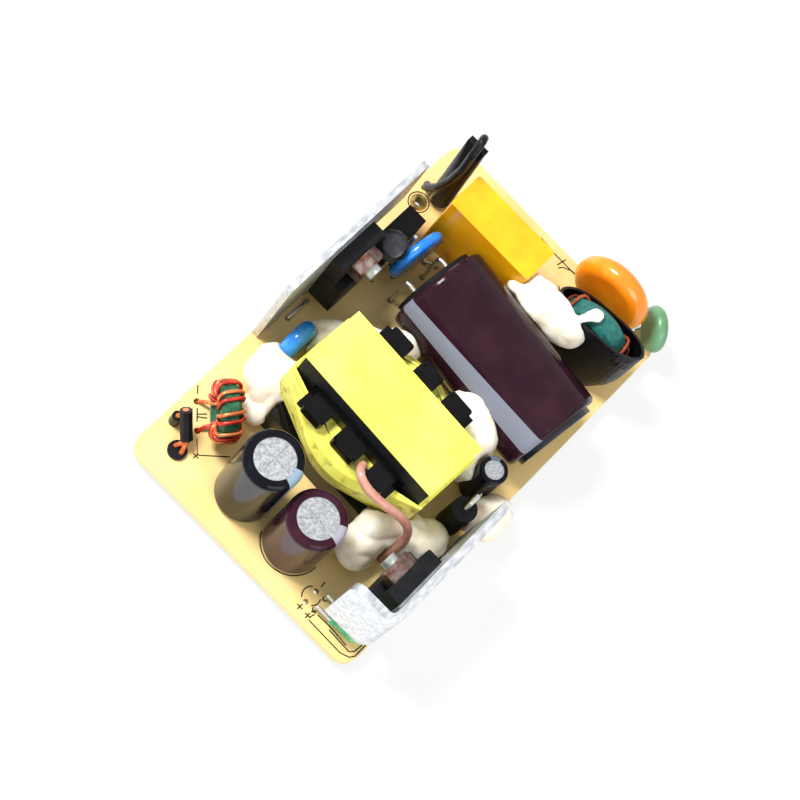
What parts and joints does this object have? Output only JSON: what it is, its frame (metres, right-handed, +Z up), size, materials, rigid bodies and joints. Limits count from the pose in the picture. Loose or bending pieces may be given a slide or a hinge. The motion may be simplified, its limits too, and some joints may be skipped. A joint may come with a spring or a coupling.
{
  "type": "open frame power supply",
  "caption": "Open frame switching power supply: a circuit board with sheet heatsinks, a taped transformer, capacitors, wound chokes and beads of white silicone.",
  "frame": {"origin": "centre of the board's solder side, at board height zero", "axes": "+X across the board towards the secondary heatsink, +Y along the board towards the mains input, +Z up through the components"},
  "size_m": [0.0528, 0.0854, 0.0269],
  "materials": {
    "board": "satin paper laminate",
    "solder": "shiny solder",
    "sheet_aluminium": "satin",
    "pad": "matte",
    "black_package": "matte moulded",
    "tinned_lead": "bright tinned",
    "screw": "zinc plated",
    "nut": "satin",
    "ferrite": "matte ferrite",
    "bobbin": "gloss moulded",
    "copper_winding": "enamelled",
    "yellow_tape": "satin film",
    "pink_wire": "enamelled",
    "clear_sleeve": "clear",
    "can": "satin",
    "maroon_sleeve": "gloss",
    "black_sleeve": "gloss",
    "purple_sleeve": "gloss",
    "bung": "matte",
    "yellow_case": "gloss",
    "blue_coating": "gloss",
    "orange_coating": "gloss",
    "green_coating": "satin",
    "black_coating": "matte",
    "teal_core": "satin coating",
    "green_core": "satin coating",
    "red_enamel": "enamelled",
    "copper_enamel": "enamelled",
    "heat_shrink": "satin",
    "green_lens": "clear",
    "eyelet": "satin",
    "silicone": "satin"
  },
  "bodies": {
    "root": {"circuit_board": "board", "solder_joints": "solder", "primary_heatsink": "sheet_aluminium", "secondary_heatsink": "sheet_aluminium", "thermal_pads": "pad", "power_transistor": "black_package", "output_rectifier": "black_package", "semiconductor_leads": "tinned_lead", "clamp_screws": "screw", "clamp_nuts": "nut", "transformer_core_upper": "ferrite", "transformer_core_lower": "ferrite", "transformer_bobbin": "bobbin", "transformer_winding": "copper_winding", "transformer_band": "yellow_tape", "transformer_core_tape": "yellow_tape", "transformer_pins": "tinned_lead", "flying_lead_wire": "pink_wire", "flying_lead_sleeve": "clear_sleeve", "bulk_capacitor_can": "can", "bulk_capacitor_sleeve": "maroon_sleeve", "bulk_capacitor_bung": "bung", "bulk_capacitor_disc": "black_coating", "output_capacitor_can": "can", "output_capacitor_sleeve": "black_sleeve", "output_capacitor_bung": "bung", "filter_capacitor_can": "can", "filter_capacitor_sleeve": "purple_sleeve", "filter_capacitor_bung": "bung", "supply_capacitor_can": "can", "supply_capacitor_sleeve": "black_sleeve", "supply_capacitor_bung": "bung", "capacitor_leads": "tinned_lead", "film_capacitor": "yellow_case", "bypass_capacitor": "blue_coating", "disc_capacitor": "blue_coating", "safety_capacitor": "green_coating", "thermistor": "black_coating", "varistor": "orange_coating", "radial_leads": "tinned_lead", "bridge_rectifier": "black_package", "snubber_diode": "black_package", "common_mode_core": "teal_core", "common_mode_windings": "red_enamel", "common_mode_sleeve": "heat_shrink", "output_choke_core": "green_core", "output_choke_red_wire": "red_enamel", "output_choke_copper_wire": "copper_enamel", "fuse": "heat_shrink", "fuse_leads": "tinned_lead", "fuse_lead_sleeve": "heat_shrink", "indicator_lamp": "green_lens", "indicator_lamp_leads": "tinned_lead", "output_stubs": "copper_winding", "output_stub_sleeves": "heat_shrink", "jumper_wires": "tinned_lead", "mains_eyelet": "eyelet", "silicone_beads": "silicone"}
  },
  "joints": []
}
